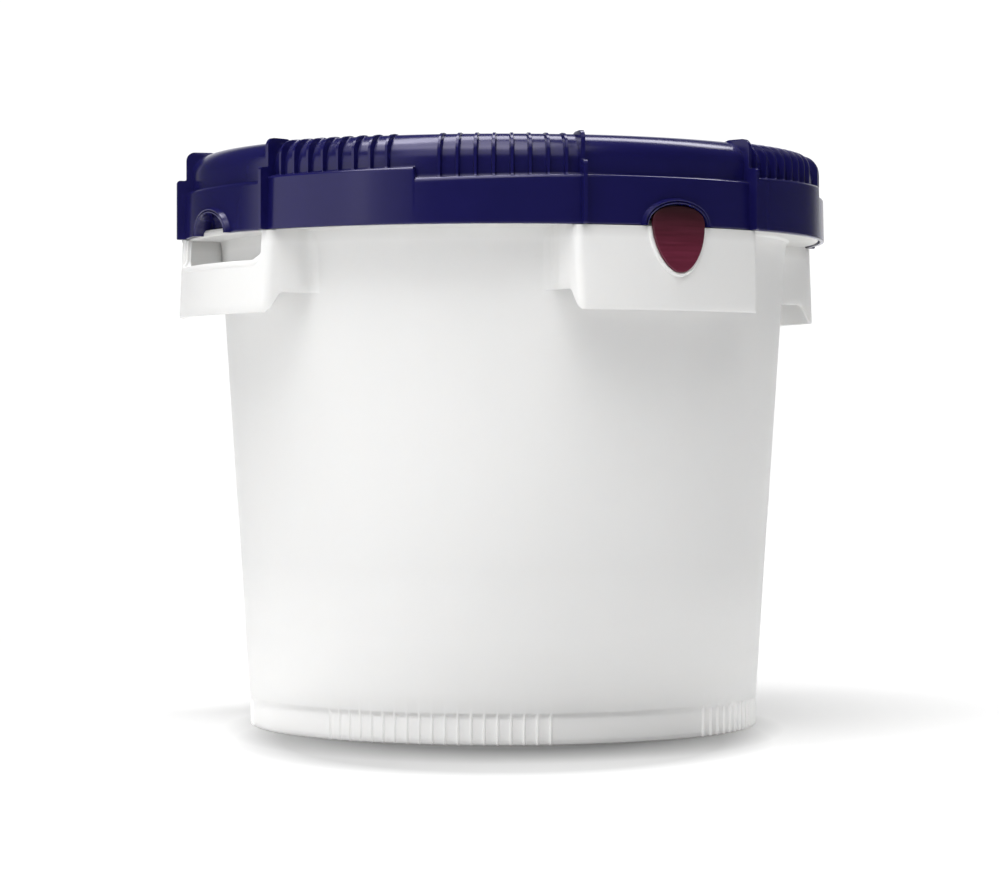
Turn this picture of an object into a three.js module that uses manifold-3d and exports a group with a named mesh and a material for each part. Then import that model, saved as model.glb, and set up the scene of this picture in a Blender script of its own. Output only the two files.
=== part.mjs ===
// A plastic open head drum: a tapered tub with a ribbed foot, two hand grips and two seal brackets,
// closed by a press-on lid with finger ribs, a foam gasket and two tamper-evident seals.
//
// Frame: +Z up, origin at the centre of the foot's underside. The seal brackets face -Y (front) and
// +Y (rear), and the hand grips face -X (left) and +X (right). All sizes are in millimetres.

import * as THREE from "three";
import { mergeVertices } from "three/addons/utils/BufferGeometryUtils.js";
import Module from "manifold-3d";

const wasm = await Module();
wasm.setup();

// Driving dimensions ---------------------------------------------------------------------------

const gap = 0.3; // between pieces that meet face to face
const thickness = 2.5; // of the moulded walls
const facets = 60; // around the drum
const quarters = 4; // lid clips, brackets and rib groups repeat four times

const footRadius = 153.2;
const footHeight = 16.7;
const footRibHeight = 1.2;
const footRibWidth = 1.6;
const footRibPitch = 2.85; // degrees
const footRibsPerGroup = 19;
const floorUnderside = 9;
const floorThickness = 3;

const wallBottom = footHeight + gap;
const wallBottomRadius = 154.6;
const wallDraft = 0.0657; // growth of the wall's radius per millimetre of height
const neckTop = 337.3;
const beadRadius = 179;

const flangeRadius = 192.5;
const flangeBottom = 293.3;
const flangeTop = 296;

const skirtRadius = 196;
const skirtBottom = 292.6;
const ledgeHeight = 320.6; // top of the skirt
const raisedLedgeHeight = 325; // top of the skirt's raised half panels
const valleyRadius = 189.3; // the shoulder between the finger ribs
const clipShoulderRadius = 191.7; // the shoulder over each clip
const ribRadius = 192.7; // crest of the finger ribs
const shoulderSpring = 331; // height at which the shoulder starts to curve over
const lidTop = 344.2;
const panelTop = 333;
const panelThickness = 3;
const panelRadius = 164.2;
const crownInner = 168.5;
const crownOuter = 177;
const bulkheadRadius = 194.5;
const bulkheadCorner = 5;
const bulkheadWidth = 2.4;
const finRadius = 200.8;
const finTop = 328;
const clipHalfAngle = 16.6; // degrees from a clip's centre to the bulkheads beside it
const fingerRibPitch = 3; // degrees
const fingerRibsPerGroup = 8;
const fingerRibWidth = 1.5;
const firstRibAngle = 4.5; // degrees from the middle of a rib field to its first rib
const clipWidth = 34;
const clipReach = 0.6; // between the clip's hook and the neck's bead
const gasketInner = 170.5;
const gasketOuter = 178.5;

const notchHalfWidth = 19.2;
const notchHeight = 12.3;
const notchRim = 2.8;
const notchFace = 199; // how far out the notch's rim stands
const pocketBack = 190; // front face of the wall behind the notch
const slotOffset = 12; // of the seal's legs and their slots, from the middle
const slotWidth = 2.6;
const slotTop = 301.6;
const legHeight = 3.2;

const bracketTop = skirtBottom - gap;
const bracketBottom = 245.4;
const bracketTopRadius = 194.6;
const bracketBottomRadius = 197;
const bracketHalfTop = 58.3;
const bracketHalfBottom = 57;
const webBottom = 257;
const webThickness = 2.2;
const webRootHalf = 61; // half the distance between the two webs where they meet the wall
const webDepth = 30;
const webSlant = 6; // length over which a web's lower edge drops to the plate
const windowHalf = 54;
const windowBottom = 271.5;
const windowCorner = 8.5;
const lipStandOut = 1.4;
const lipThickness = 2.4;

const sealHalfWidth = 17.1;
const sealMiddle = 294; // height of the seal's widest line
const sealTop = 303.8;
const sealBottom = 266.4;
const sealFace = 198.6;
const sealThickness = 2;
const sealTilt = 5; // degrees, so that the seal's tip stands further out than its widest line
const collarWidth = 1.8;
const collarFace = sealFace - 1;
const rampWidth = 14; // of the boss below the seal
const pegWidth = 4;
const pegHeight = 275;

// Geometry helpers -----------------------------------------------------------------------------

const radians = THREE.MathUtils.degToRad;

const wallRadius = (z) => wallBottomRadius + wallDraft * (z - wallBottom);

// A closed three.js geometry as a manifold-3d solid.
function solid(geometry) {
  const bare = geometry.clone();
  bare.deleteAttribute("normal");
  bare.deleteAttribute("uv");
  const merged = mergeVertices(bare, 1e-4);
  return new wasm.Manifold(
    new wasm.Mesh({
      numProp: 3,
      vertProperties: merged.attributes.position.array,
      triVerts: new Uint32Array(merged.index.array),
    }),
  );
}

// A manifold-3d solid as a named mesh.
function part(name, shape, material) {
  const { vertProperties, triVerts } = shape.getMesh();
  const geometry = new THREE.BufferGeometry();
  geometry.setAttribute("position", new THREE.BufferAttribute(new Float32Array(vertProperties), 3));
  geometry.setIndex(new THREE.BufferAttribute(new Uint32Array(triVerts), 1));
  geometry.computeVertexNormals();
  const mesh = new THREE.Mesh(geometry, material);
  mesh.name = name;
  return mesh;
}

// A line of [radius, height] points, counter-clockwise, turned about Z.
function lathe(line) {
  const points = line.map(([r, z]) => new THREE.Vector2(r, z));
  return solid(new THREE.LatheGeometry(points, facets).rotateX(Math.PI / 2));
}

// A ring with a closed profile.
function revolve(profile) {
  return lathe([...profile, profile[0]]);
}

// A solid plug on the axis between two heights, which may taper.
function plug(bottomRadius, bottom, topRadius, top) {
  return lathe([
    [0, bottom],
    [bottomRadius, bottom],
    [topRadius, top],
    [0, top],
  ]);
}

function shapeOf(points) {
  return new THREE.Shape(points.map(([a, b]) => new THREE.Vector2(a, b)));
}

// A shape drawn as seen from the front, (x, z), between two distances in front of the axis.
function frontPrism(shape, near, far, curveSegments = 12) {
  const depth = far - near;
  const geometry = new THREE.ExtrudeGeometry(shape, { depth, bevelEnabled: false, curveSegments });
  return solid(geometry.rotateX(Math.PI / 2).translate(0, -near, 0));
}

// A shape drawn in a plane through the axis, (radius, z), as a plate that faces +X.
function radialPlate(shape, width, curveSegments = 4) {
  const geometry = new THREE.ExtrudeGeometry(shape, { depth: width, bevelEnabled: false, curveSegments });
  return solid(geometry.rotateX(Math.PI / 2).translate(0, width / 2, 0));
}

// A shape drawn from the side in front of the axis, (distance from the axis, z), that is width wide.
function sidePrism(shape, width) {
  return radialPlate(shape, width).rotate([0, 0, -90]);
}

function box(halfWidth, near, far, bottom, top, middle = 0) {
  const corners = [
    [middle - halfWidth, bottom],
    [middle + halfWidth, bottom],
    [middle + halfWidth, top],
    [middle - halfWidth, top],
  ];
  return frontPrism(shapeOf(corners), near, far);
}

function join(solids) {
  return solids.reduce((whole, next) => whole.add(next));
}

// Copies of a solid turned about the axis by each angle, in degrees.
function turned(shape, angles) {
  return join(angles.map((angle) => shape.rotate([0, 0, angle])));
}

const quarterTurns = Array.from({ length: quarters }, (_, i) => (i * 360) / quarters);

// The half ellipse of a lid notch, grown outwards by some width, with straight sides down to a depth.
function archShape(grow, depth) {
  const shape = new THREE.Shape();
  shape.moveTo(notchHalfWidth + grow, skirtBottom - depth);
  shape.lineTo(notchHalfWidth + grow, skirtBottom);
  shape.absellipse(0, skirtBottom, notchHalfWidth + grow, notchHeight + grow, 0, Math.PI, false);
  shape.lineTo(-notchHalfWidth - grow, skirtBottom - depth);
  return shape;
}

// The outline of a seal, grown outwards: a low half ellipse over a long one.
function sealShape(grow) {
  const shape = new THREE.Shape();
  const half = sealHalfWidth + grow;
  shape.absellipse(0, sealMiddle, half, sealTop - sealMiddle + grow, 0, Math.PI, false);
  shape.absellipse(0, sealMiddle, half, sealMiddle - sealBottom + grow, Math.PI, 2 * Math.PI, false);
  return shape;
}

// A solid leaned outwards at its foot by the seal's tilt, about the seal's widest line.
function leaned(shape) {
  const atPivot = shape.translate([0, sealFace, -sealMiddle]);
  return atPivot.rotate([-sealTilt, 0, 0]).translate([0, -sealFace, sealMiddle]);
}

// Points of the shoulder's curve, from its upright face over to the crown.
function shoulderCurve(radius, top, steps) {
  return Array.from({ length: steps + 1 }, (_, i) => {
    const angle = (i / steps) * (Math.PI / 2);
    const across = radius - crownOuter;
    return [crownOuter + across * Math.cos(angle), shoulderSpring + (top - shoulderSpring) * Math.sin(angle)];
  });
}

// Drum -----------------------------------------------------------------------------------------

// The ribbed foot ring under the wall.
function foot() {
  const ring = revolve([
    [footRadius - thickness, 0],
    [footRadius, 0],
    [footRadius, footHeight],
    [footRadius - thickness, footHeight],
  ]);
  const outline = [
    [footRadius - 1, 0],
    [footRadius + footRibHeight, 0],
    [footRadius + footRibHeight, footHeight],
    [footRadius - 1, footHeight],
  ];
  const rib = radialPlate(shapeOf(outline), footRibWidth);
  const angles = quarterTurns.flatMap((quarter) =>
    Array.from({ length: footRibsPerGroup }, (_, i) => {
      const step = i - (footRibsPerGroup - 1) / 2;
      return quarter + 180 / quarters + step * footRibPitch;
    }),
  );
  return ring.add(turned(rib, angles));
}

// The tapered wall, up to the neck's rim, with the bead that the lid's clips snap over.
function tub() {
  const inner = (z) => wallRadius(z) - thickness;
  return revolve([
    [inner(wallBottom), wallBottom],
    [wallRadius(wallBottom), wallBottom],
    [wallRadius(308), 308],
    [beadRadius, 311],
    [beadRadius, 313],
    [wallRadius(316), 316],
    [wallRadius(neckTop) - 0.4, neckTop],
    [inner(neckTop) + 0.4, neckTop],
    [inner(neckTop - 2), neckTop - 2],
  ]);
}

// The flat flange inside the lid's skirt.
function flange() {
  const inner = wallRadius(flangeTop) + gap;
  return revolve([
    [inner, flangeBottom],
    [flangeRadius, flangeBottom],
    [flangeRadius, flangeTop],
    [inner, flangeTop],
  ]);
}

// A bracket's curved plate and the two webs that carry it, in front of the wall.
function bracketShell() {
  const ring = revolve([
    [bracketBottomRadius - thickness, bracketBottom],
    [bracketBottomRadius, bracketBottom],
    [bracketTopRadius, bracketTop],
    [bracketTopRadius - thickness, bracketTop],
  ]);
  const front = shapeOf([
    [-bracketHalfBottom, bracketBottom - 1],
    [bracketHalfBottom, bracketBottom - 1],
    [bracketHalfTop, bracketTop + 1],
    [-bracketHalfTop, bracketTop + 1],
  ]);
  const plate = ring.intersect(frontPrism(front, 150, 210));

  const web = shapeOf([
    [0, webBottom],
    [webDepth - webSlant, webBottom],
    [webDepth - 2.5, bracketBottom + 1],
    [webDepth, bracketBottom],
    [webDepth, bracketTop],
    [0, bracketTop],
  ]);
  const edgeDepth = Math.sqrt(bracketTopRadius ** 2 - bracketHalfTop ** 2);
  const plateEdge = new THREE.Vector2(bracketHalfTop - 1.6, -edgeDepth);
  const root = new THREE.Vector2(webRootHalf - 1.6, plateEdge.y + webDepth - 1);
  const heading = Math.atan2(plateEdge.y - root.y, plateEdge.x - root.x);
  const right = radialPlate(web, webThickness)
    .rotate([0, 0, THREE.MathUtils.radToDeg(heading)])
    .translate([root.x, root.y, 0]);
  const left = right.mirror([1, 0, 0]);
  const above = flangeBottom + 10;
  const tubSpace = plug(wallRadius(wallBottom) + gap, wallBottom, wallRadius(above) + gap, above);
  return join([plate, right, left]).subtract(tubSpace);
}

// A hand grip: the bracket with a wide window over its bar, and a lip along the bar's top.
function gripBracket() {
  const window = new THREE.Shape();
  window.moveTo(windowHalf, bracketTop + 5);
  window.lineTo(-windowHalf, bracketTop + 5);
  window.lineTo(-windowHalf, windowBottom + windowCorner);
  const cornerHeight = windowBottom + windowCorner;
  window.absarc(-windowHalf + windowCorner, cornerHeight, windowCorner, Math.PI, 1.5 * Math.PI);
  window.absarc(windowHalf - windowCorner, cornerHeight, windowCorner, 1.5 * Math.PI, 2 * Math.PI);
  const share = (bracketTop - windowBottom) / (bracketTop - bracketBottom);
  const barRadius = bracketTopRadius + share * (bracketBottomRadius - bracketTopRadius);
  const lipRing = revolve([
    [barRadius - thickness, windowBottom - lipThickness],
    [barRadius + lipStandOut, windowBottom - lipThickness],
    [barRadius + lipStandOut, windowBottom],
    [barRadius - thickness, windowBottom],
  ]);
  const lipHalf = windowHalf - windowCorner;
  const lip = lipRing.intersect(box(lipHalf, 150, 210, windowBottom - 10, windowBottom + 1));
  return bracketShell().subtract(frontPrism(window, 184, 210, 4)).add(lip);
}

// A seal bracket: the bracket with a boss that carries the seal's lower half.
function sealBracket() {
  const plateBack = bracketTopRadius - thickness;
  const below = box(40, 150, 210, 200, bracketTop);
  const boss = leaned(frontPrism(sealShape(collarWidth), plateBack - 2, collarFace)).intersect(below);
  const rampFace = collarFace + (sealMiddle - sealBottom - 8) * Math.tan(radians(sealTilt));
  const ramp = sidePrism(
    shapeOf([
      [plateBack + 2, 250],
      [bracketBottomRadius - 0.6, 250],
      [rampFace, sealBottom + 2],
      [rampFace, sealBottom + 8],
      [plateBack + 2, sealBottom + 8],
    ]),
    rampWidth,
  );
  const recess = leaned(frontPrism(sealShape(0.4), sealFace - sealThickness - gap, 210));
  const holeHalf = pegWidth / 2 + 0.4;
  const pegHole = box(holeHalf, 180, 210, pegHeight - holeHalf, pegHeight + holeHalf);
  return join([bracketShell(), boss, ramp]).subtract(recess).subtract(pegHole);
}

// Lid ------------------------------------------------------------------------------------------

// One finger rib over the shoulder, facing +X.
function fingerRib() {
  const crest = shoulderCurve(ribRadius, lidTop, 2);
  const outline = [
    [valleyRadius - 1.5, ledgeHeight - 1],
    [ribRadius, ledgeHeight - 1],
    ...crest,
    [crownOuter, lidTop - 1.5],
    [valleyRadius - 3, shoulderSpring + 3],
  ];
  return radialPlate(shapeOf(outline), fingerRibWidth);
}

// The bulkhead at the end of a rib field, with the fin that runs down the skirt, facing +X.
function bulkhead() {
  const shape = new THREE.Shape();
  shape.moveTo(skirtRadius - 1.5, skirtBottom);
  shape.lineTo(finRadius, skirtBottom);
  shape.lineTo(finRadius, finTop);
  shape.lineTo(bulkheadRadius, finTop);
  shape.absarc(bulkheadRadius - bulkheadCorner, lidTop - bulkheadCorner, bulkheadCorner, 0, Math.PI / 2);
  shape.lineTo(crownOuter, lidTop);
  shape.lineTo(crownOuter, lidTop - 1.5);
  shape.lineTo(valleyRadius - 3, shoulderSpring + 3);
  shape.lineTo(valleyRadius - 1.5, ledgeHeight - 1);
  shape.lineTo(skirtRadius - 1.5, ledgeHeight - 1);
  return radialPlate(shape, bulkheadWidth);
}

// A sector of a revolved profile, from one angle to another in degrees, counted from +X.
function sector(profile, from, to) {
  const reach = 260;
  const corner = (angle) => [reach * Math.cos(radians(angle)), reach * Math.sin(radians(angle))];
  const wedge = new THREE.ExtrudeGeometry(shapeOf([[0, 0], corner(from), corner(to)]), {
    depth: 400,
    bevelEnabled: false,
  });
  return revolve(profile).intersect(solid(wedge));
}

// The shoulder that stands a little proud over each clip.
function clipShoulder() {
  const profile = [
    [valleyRadius - 1, ledgeHeight - 1],
    [clipShoulderRadius, ledgeHeight - 1],
    ...shoulderCurve(clipShoulderRadius, lidTop, 3),
    [crownOuter, lidTop - 1],
    [valleyRadius - 2, shoulderSpring + 2],
  ];
  return sector(profile, -clipHalfAngle, clipHalfAngle);
}

// The raised top of the skirt along one half of a rib field.
function raisedLedge() {
  const profile = [
    [valleyRadius - 1, ledgeHeight - 1.5],
    [skirtRadius, ledgeHeight - 1.5],
    [skirtRadius, raisedLedgeHeight - 1],
    [skirtRadius - 1, raisedLedgeHeight],
    [valleyRadius - 1, raisedLedgeHeight],
  ];
  return sector(profile, clipHalfAngle, 180 / quarters);
}

// The clip that hangs inside the skirt and catches under the neck's bead, facing the front.
function clip() {
  const hook = shapeOf([
    [187, 302],
    [187, 330],
    [184.3, 330],
    [184.3, 309.5],
    [beadRadius + clipReach, 307.5],
    [beadRadius + clipReach, 305.5],
    [182, 302],
  ]);
  return sidePrism(hook, clipWidth);
}

// The lid's crown, shoulder and skirt, with everything moulded on them.
function lidRing() {
  const shell = revolve([
    [panelRadius + gap, 330],
    [165.7, 330],
    [165.7, 326],
    [168.2, 326],
    [168.7, 341.4],
    [crownOuter, 341.4],
    [183.5, 339],
    [186.8, shoulderSpring],
    [186.8, ledgeHeight - thickness],
    [skirtRadius - thickness, ledgeHeight - thickness],
    [skirtRadius - thickness, skirtBottom],
    [skirtRadius, skirtBottom],
    [skirtRadius, ledgeHeight - 1],
    [skirtRadius - 1, ledgeHeight],
    [valleyRadius, ledgeHeight],
    ...shoulderCurve(valleyRadius, lidTop, 3),
    [crownInner, lidTop],
    [166.5, lidTop - 2],
    [165.2, panelTop],
    [panelRadius + gap, panelTop],
  ]);

  const ribOffsets = Array.from({ length: fingerRibsPerGroup }, (_, i) => firstRibAngle + i * fingerRibPitch);
  const ribAngles = quarterTurns.flatMap((quarter) => {
    const middle = quarter + 180 / quarters;
    return ribOffsets.flatMap((offset) => [middle + offset, middle - offset]);
  });
  const bulkheadAngles = quarterTurns.flatMap((angle) => [angle - clipHalfAngle, angle + clipHalfAngle]);
  const pocket = frontPrism(archShape(notchRim, 0), pocketBack - 2, notchFace);
  const moulded = join([
    shell,
    turned(clipShoulder(), quarterTurns),
    turned(fingerRib(), ribAngles),
    turned(bulkhead(), bulkheadAngles),
    turned(raisedLedge(), quarterTurns),
    turned(pocket, quarterTurns),
    turned(clip(), quarterTurns),
  ]);

  const cavity = frontPrism(archShape(0, 5), pocketBack, 210);
  const clearOfFlange = box(30, 187.2, flangeRadius + gap, skirtBottom - 5, flangeTop + gap);
  const slots = [-slotOffset, slotOffset].map((middle) =>
    box(slotWidth / 2, pocketBack - 2.5, pocketBack + 1, skirtBottom, slotTop, middle),
  );
  return moulded.subtract(turned(join([cavity, clearOfFlange, ...slots]), quarterTurns));
}

// The foam ring that seals the lid on the neck's rim.
function gasket() {
  return revolve([
    [gasketInner, neckTop + gap],
    [gasketOuter, neckTop + gap],
    [gasketOuter - 0.3, 340.8],
    [gasketInner, 341.1],
  ]);
}

// A tamper-evident seal: the shield plate, two legs through the lid's slots and a peg into the bracket.
function seal() {
  const back = sealFace - sealThickness;
  const legs = [-slotOffset, slotOffset].map((middle) =>
    box(slotWidth / 2 - gap, pocketBack - 2.6, back + 0.5, slotTop - legHeight, slotTop - gap, middle),
  );
  const pegHalf = pegWidth / 2;
  const pegEnd = bracketTopRadius - thickness - 3;
  const peg = box(pegHalf, pegEnd, back + 2, pegHeight - pegHalf, pegHeight + pegHalf);
  return join([leaned(frontPrism(sealShape(0), back, sealFace)), ...legs, peg]);
}

// Materials and assembly -----------------------------------------------------------------------

const whitePlastic = new THREE.MeshStandardMaterial({ color: 0xf1f1ef, roughness: 0.45, metalness: 0 });
const bluePlastic = new THREE.MeshStandardMaterial({ color: 0x1d1a5c, roughness: 0.35, metalness: 0 });
const redPlastic = new THREE.MeshStandardMaterial({ color: 0x6a1e30, roughness: 0.35, metalness: 0 });
const foam = new THREE.MeshStandardMaterial({ color: 0xe3e2dc, roughness: 0.9, metalness: 0 });

function turnedPart(name, shape, angle, material) {
  return part(name, shape.rotate([0, 0, angle]), material);
}

const floorRadius = footRadius - thickness - gap;
const floorTop = floorUnderside + floorThickness;
const drum = new THREE.Group();
drum.add(
  part("base_ring", foot(), whitePlastic),
  part("drum_floor", plug(floorRadius, floorUnderside, floorRadius, floorTop), whitePlastic),
  part("drum_wall", tub(), whitePlastic),
  part("neck_flange", flange(), whitePlastic),
  turnedPart("seal_bracket_front", sealBracket(), 0, whitePlastic),
  turnedPart("grip_bracket_right", gripBracket(), 90, whitePlastic),
  turnedPart("seal_bracket_rear", sealBracket(), 180, whitePlastic),
  turnedPart("grip_bracket_left", gripBracket(), 270, whitePlastic),
);

const lid = new THREE.Group();
lid.add(
  part("lid_ring", lidRing(), bluePlastic),
  part("lid_panel", plug(panelRadius, panelTop - panelThickness, panelRadius, panelTop), bluePlastic),
  part("lid_gasket", gasket(), foam),
);

const seals = new THREE.Group();
seals.add(turnedPart("seal_front", seal(), 0, redPlastic), turnedPart("seal_rear", seal(), 180, redPlastic));

const root = new THREE.Group();
root.add(drum, lid, seals);
export default root;
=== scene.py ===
"""A plastic open head drum with a ribbed press-on lid and two tamper seals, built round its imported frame.

Lengths inside the shape functions are in millimetres and angles are in degrees, counted from the front (-Y)
towards the right (+X). mesh_object() turns them into metres in the frame's own axes.
"""

import math

import bmesh
import bpy
import numpy as np
from mathutils import Matrix, Vector


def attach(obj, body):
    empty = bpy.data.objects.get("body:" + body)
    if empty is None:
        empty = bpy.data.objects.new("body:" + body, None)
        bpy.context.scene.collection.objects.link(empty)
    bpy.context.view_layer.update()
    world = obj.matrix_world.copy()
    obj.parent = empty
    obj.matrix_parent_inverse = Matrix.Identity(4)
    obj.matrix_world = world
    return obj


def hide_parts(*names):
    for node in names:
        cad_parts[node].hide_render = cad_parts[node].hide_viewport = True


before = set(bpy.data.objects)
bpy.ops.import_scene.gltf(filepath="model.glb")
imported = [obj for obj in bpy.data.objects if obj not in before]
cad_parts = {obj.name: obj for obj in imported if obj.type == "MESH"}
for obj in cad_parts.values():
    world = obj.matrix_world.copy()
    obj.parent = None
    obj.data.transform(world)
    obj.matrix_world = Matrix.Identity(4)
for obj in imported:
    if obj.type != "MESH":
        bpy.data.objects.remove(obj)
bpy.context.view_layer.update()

MM = 0.001
QUARTERS = (0, 90, 180, 270)
SEAL_SIDES = (0, 180)
GRIP_SIDES = (90, 270)

# Drum
WALL_BOTTOM = 18.5
WALL_BOTTOM_R = 154.7
WALL_DRAFT = 0.0657
WALL_T = 2.5
FOOT_R = 153.1
FOOT_TOP = 15.5
FOOT_RIB_PITCH = 2.82
FOOT_RIBS = 19
FOOT_RIB_SHAPE = (0.22, 0.12)
NECK_TOP = 337.3
BEAD_R = 179.0
FLANGE_R = 192.6
FLANGE_LOW, FLANGE_HIGH = 293.3, 296.0

# Lid
SKIRT_R = 196.0
SKIRT_LOW = 292.6
LEDGE_Z = 320.6
LEDGE_ROUND = 2.0
LEDGE_DROP, RAISED_DROP = 2.0, 1.3
RAISED_Z = 324.7
CROWN_R = 177.0
CROWN_Z = 344.0
CLIP_HALF = 16.6
FIN_R = 200.8
FIN_Z = 328.0
RIB_FIRST, RIB_PITCH, RIBS_PER_SIDE = 4.55, 3.04, 8
RIB_SHAPE = (0.33, 0.12)
BULKHEAD_SHAPE = (0.4, 0.07)
RAISED_END, RAISED_STEP = 0.5, 0.35
HALF_LEDGE_ANGLE = 27.5
LEDGE_DEEPER, DEEPER_ANGLE = 1.3, 20.0
CLIP_FLANK = 0.3

# Notches, brackets and seals
NOTCH_HALF, NOTCH_HEIGHT, NOTCH_RIM = 19.2, 12.3, 2.8
NOTCH_FACE = 199.0
POCKET_BACK = 190.0
SLOT_OFFSET, SLOT_WIDTH, SLOT_TOP = 12.0, 2.6, 301.6
PLATE_LOW, PLATE_HIGH = 245.4, 292.3
PLATE_LOW_R, PLATE_HIGH_R = 197.0, 194.6
PLATE_LOW_HALF, PLATE_HIGH_HALF = 57.0, 58.3
PLATE_CORNER = 3.2
WEB_LOW, WEB_SLANT, WEB_FILLET = 257.0, 8.0, 4.5
WEB_ROOT_ANGLE, WEB_TAIL_ANGLE, WEB_TAIL_LENGTH = 20.2, 22.8, 10.0
WEB_STEPS, WEB_ROWS = 8, 14
ROOF_ANGLE = 17.8
WINDOW_HALF, WINDOW_LOW, WINDOW_CORNER = 54.0, 271.5, 8.5
LIP_WIDTH = 3.2
SEAL_HALF, SEAL_MIDDLE, SEAL_LOW, SEAL_HIGH = 17.2, 294.0, 266.4, 303.9
SEAL_FACE, SEAL_T, SEAL_LEAN = 198.6, 2.0, 0.0875
COLLAR = 1.0
SEAL_POWERS = (2.35, 1.84)
PEG_Z, PEG_HALF, PEG_HOLE_HALF = 275.0, 2.0, 2.5


# ---------------------------------------------------------------- small tools

def smooth(x):
    """0 below 0, 1 above 1, and a smooth step between."""
    x = np.clip(x, 0.0, 1.0)
    return x * x * (3 - 2 * x)


def foot_rib_angles():
    """Where the foot's ribs stand: a field of them half-way between each two brackets."""
    field = [(k - (FOOT_RIBS - 1) / 2) * FOOT_RIB_PITCH for k in range(FOOT_RIBS)]
    return [quarter + 45 + along for quarter in QUARTERS for along in field]


def shoulder_rib_angles():
    """Where the lid's ribs stand: two mirrored runs with a gap between them, in each of the four fields."""
    run = [RIB_FIRST + k * RIB_PITCH for k in range(RIBS_PER_SIDE)]
    return [quarter + 45 + side * out for quarter in QUARTERS for side in (-1, 1) for out in run]


def turn_gap(theta, centre):
    """How far each angle is from a centre, in degrees, the short way round."""
    return (theta - centre + 180.0) % 360.0 - 180.0


def plateau(theta, centre, half, flank):
    """1 within half of the centre, 0 beyond, with smooth flanks of plus and minus flank."""
    return smooth((half + flank - np.abs(turn_gap(theta, centre))) / (2 * flank))


def wall_r(z):
    """Outer radius of the tapered wall at height z."""
    return WALL_BOTTOM_R + WALL_DRAFT * (z - WALL_BOTTOM)


def plate_r(z):
    """Outer radius of the bracket plates at height z."""
    return PLATE_LOW_R + (z - PLATE_LOW) / (PLATE_HIGH - PLATE_LOW) * (PLATE_HIGH_R - PLATE_LOW_R)


def arc(cx, cz, r, start, end, n):
    """Points of an arc in the (radius, height) plane, both ends included."""
    return [
        (cx + r * math.cos(math.radians(a)), cz + r * math.sin(math.radians(a)))
        for a in np.linspace(start, end, n)
    ]


def to_world(theta, r, z):
    """(angle, radius, height) arrays to x, y, z in millimetres."""
    a = np.radians(theta)
    return np.stack(np.broadcast_arrays(r * np.sin(a), -r * np.cos(a), z), axis=-1)


def wrapped(across, r, z):
    """Positions on the lid's side: across is measured round the skirt from the front."""
    return to_world(np.degrees(np.asarray(across) / SKIRT_R), r, z)


def mesh_object(name, points, faces):
    """A mesh from millimetre points, with its faces turned outwards."""
    mesh = bpy.data.meshes.new(name)
    mesh.from_pydata([tuple(p) for p in np.asarray(points) * MM], [], faces)
    bm = bmesh.new()
    bm.from_mesh(mesh)
    bmesh.ops.remove_doubles(bm, verts=bm.verts, dist=1e-7)
    bmesh.ops.dissolve_degenerate(bm, dist=1e-8, edges=bm.edges)
    bmesh.ops.recalc_face_normals(bm, faces=bm.faces)
    bm.to_mesh(mesh)
    bm.free()
    obj = bpy.data.objects.new(name, mesh)
    bpy.context.scene.collection.objects.link(obj)
    return obj


def grid_faces(rows, cols, wrap_rows, wrap_cols):
    faces = []
    for i in range(rows if wrap_rows else rows - 1):
        for j in range(cols if wrap_cols else cols - 1):
            a, b = i * cols + j, i * cols + (j + 1) % cols
            c, d = ((i + 1) % rows) * cols + (j + 1) % cols, ((i + 1) % rows) * cols + j
            faces.append((a, b, c, d))
    return faces


def ring_solid(name, theta, profiles, on_axis=False):
    """A body round the axis: profiles[angle][station] is (radius, height), closed or ended on the axis."""
    points = to_world(theta[:, None], profiles[..., 0], profiles[..., 1])
    faces = grid_faces(len(theta), profiles.shape[1], True, not on_axis)
    return mesh_object(name, points.reshape(-1, 3), faces)


def swept_solid(name, sections):
    """A closed bar from a run of matching closed sections, with flat ends."""
    sections = np.asarray(sections)
    rows, cols = sections.shape[:2]
    faces = grid_faces(rows, cols, False, True)
    faces.append(tuple(range(cols)))
    faces.append(tuple((rows - 1) * cols + j for j in range(cols)))
    return mesh_object(name, sections.reshape(-1, 3), faces)


def combine(obj, other, operation):
    """obj joined with or cut by other, which is used up."""
    modifier = obj.modifiers.new(operation, "BOOLEAN")
    modifier.operation = operation
    modifier.solver = "EXACT"
    modifier.object = other
    graph = bpy.context.evaluated_depsgraph_get()
    mesh = bpy.data.meshes.new_from_object(obj.evaluated_get(graph))
    obj.modifiers.clear()
    obj.data = mesh
    bpy.data.objects.remove(other)
    return obj


def fuse(obj, *others):
    for other in others:
        combine(obj, other, "UNION")
    return obj


def cut(obj, *others):
    for other in others:
        combine(obj, other, "DIFFERENCE")
    return obj


def shade(obj, sharp_angle=32):
    """Smooth faces, with hard edges only where the surface really turns."""
    obj.data.shade_smooth()
    obj.data.set_sharp_from_angle(angle=math.radians(sharp_angle))


def around(obj, name, angles):
    """One object holding a copy of obj turned about the axis to each angle; obj is used up."""
    bm = bmesh.new()
    for angle in angles:
        mesh = obj.data.copy()
        mesh.transform(Matrix.Rotation(math.radians(angle), 4, "Z"))
        bm.from_mesh(mesh)
        bpy.data.meshes.remove(mesh)
    mesh = bpy.data.meshes.new(name)
    bm.to_mesh(mesh)
    bm.free()
    turned = bpy.data.objects.new(name, mesh)
    bpy.context.scene.collection.objects.link(turned)
    bpy.data.objects.remove(obj)
    return turned


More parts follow.
